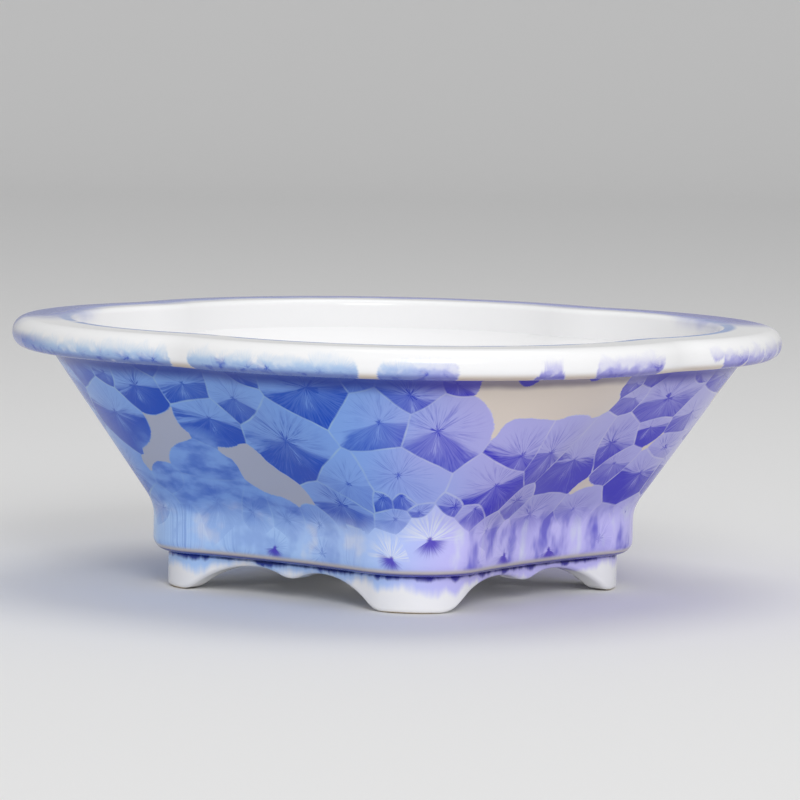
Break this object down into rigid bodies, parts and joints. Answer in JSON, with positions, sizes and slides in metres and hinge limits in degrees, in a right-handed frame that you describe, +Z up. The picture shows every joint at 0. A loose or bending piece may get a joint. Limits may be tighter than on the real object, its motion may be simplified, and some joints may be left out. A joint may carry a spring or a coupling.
{
  "type": "bonsai pot",
  "caption": "Low four-lobed bonsai pot in crystalline-glazed porcelain, with a broad rounded lip, a flaring wall, a short belly and bracket feet.",
  "frame": {"origin": "middle of the base, on the surface that the feet stand on", "axes": "+Z up; the lobes and the feet point along +X (right), +Y (back), -X (left) and -Y (front)"},
  "size_m": [0.3, 0.3, 0.104],
  "materials": {
    "rim_glaze": "glossy white glaze, running to blue crystals along the outer edge",
    "crystal_glaze": "glossy crystalline glaze, blue on one side and violet on the other, on a pale ground",
    "belly_glaze": "glossy pale blue to lilac glaze with soft crystals",
    "inside_glaze": "glossy white glaze",
    "foot_glaze": "glossy pale glaze over white, with bare clay on the soles"
  },
  "bodies": {
    "root": {"rim_lip": "rim_glaze", "wall": "crystal_glaze", "belly_band": "belly_glaze", "floor_slab": "inside_glaze", "foot_front": "foot_glaze", "foot_right": "foot_glaze", "foot_back": "foot_glaze", "foot_left": "foot_glaze"}
  },
  "joints": []
}
